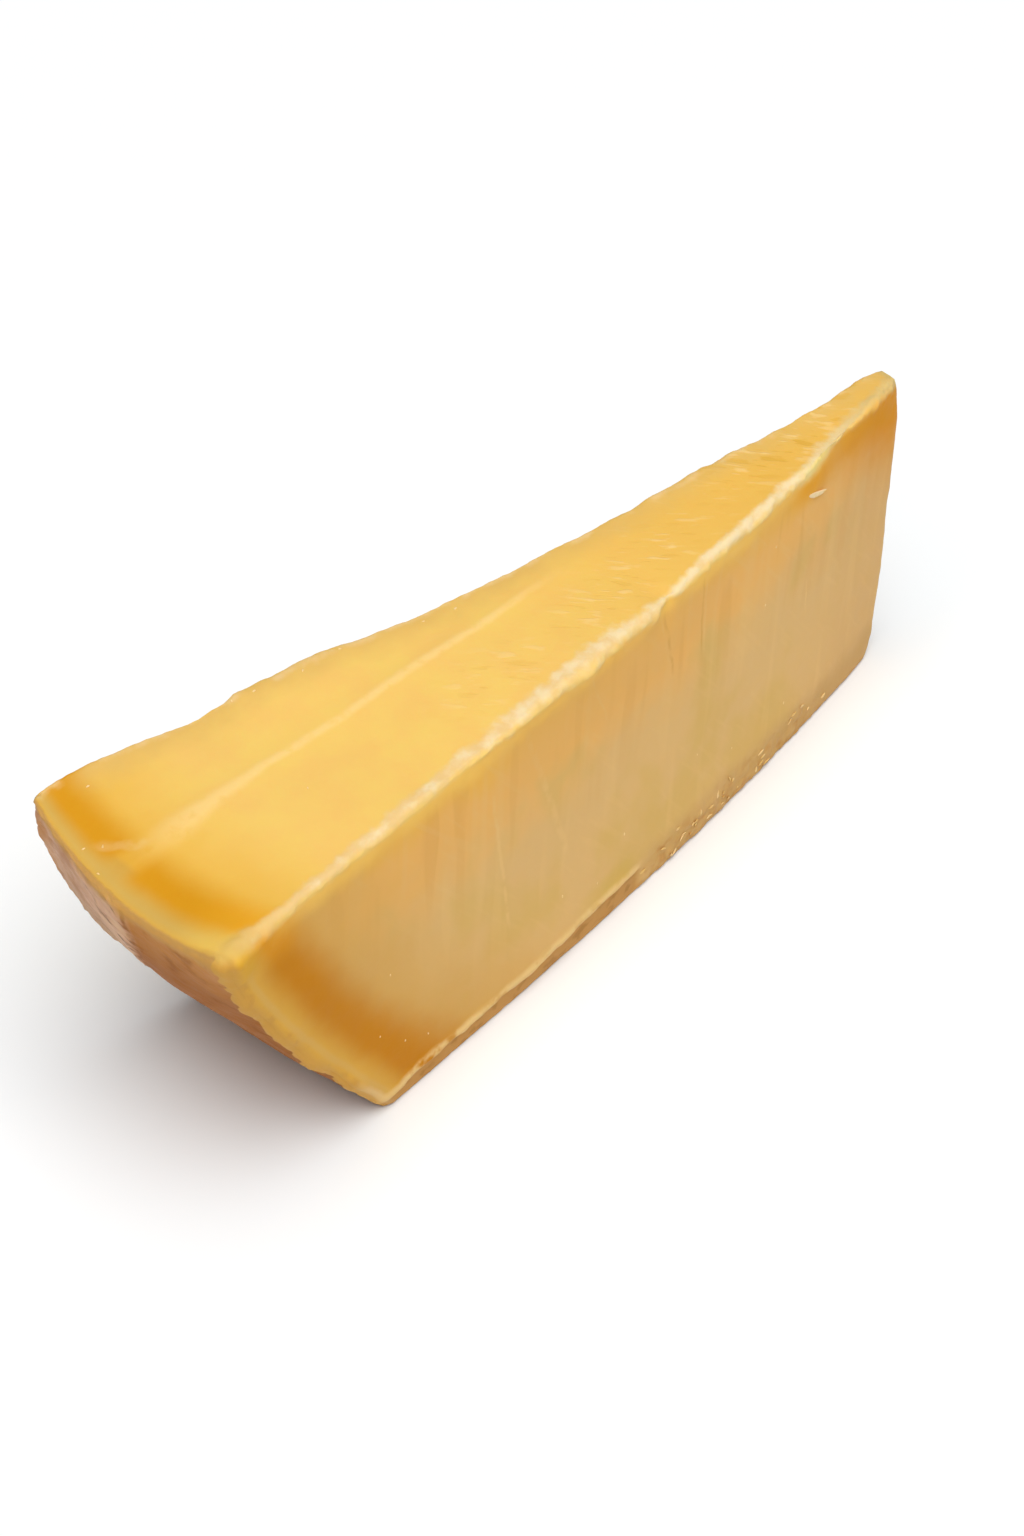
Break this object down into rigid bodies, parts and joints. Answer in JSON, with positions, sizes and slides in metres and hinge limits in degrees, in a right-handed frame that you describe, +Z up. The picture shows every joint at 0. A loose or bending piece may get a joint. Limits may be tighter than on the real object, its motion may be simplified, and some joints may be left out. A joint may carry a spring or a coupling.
{
  "type": "cheese wedge",
  "caption": "Long, narrow wedge of aged hard cheese, lying on its flat rind, with a curved rind at the heel and two upright cut sides.",
  "frame": {"origin": "middle of the wedge's bounding box, on the surface that it lies on", "axes": "+X from the rind at the heel to the narrow tip, +Y out of the left cut face, +Z up out of the level top cut"},
  "size_m": [0.2136, 0.06, 0.0819],
  "materials": {
    "cheese": "waxy cut paste, satin, with a drier and rougher rind at the heel and underneath"
  },
  "bodies": {
    "root": {"cheese_wedge": "cheese"}
  },
  "joints": []
}
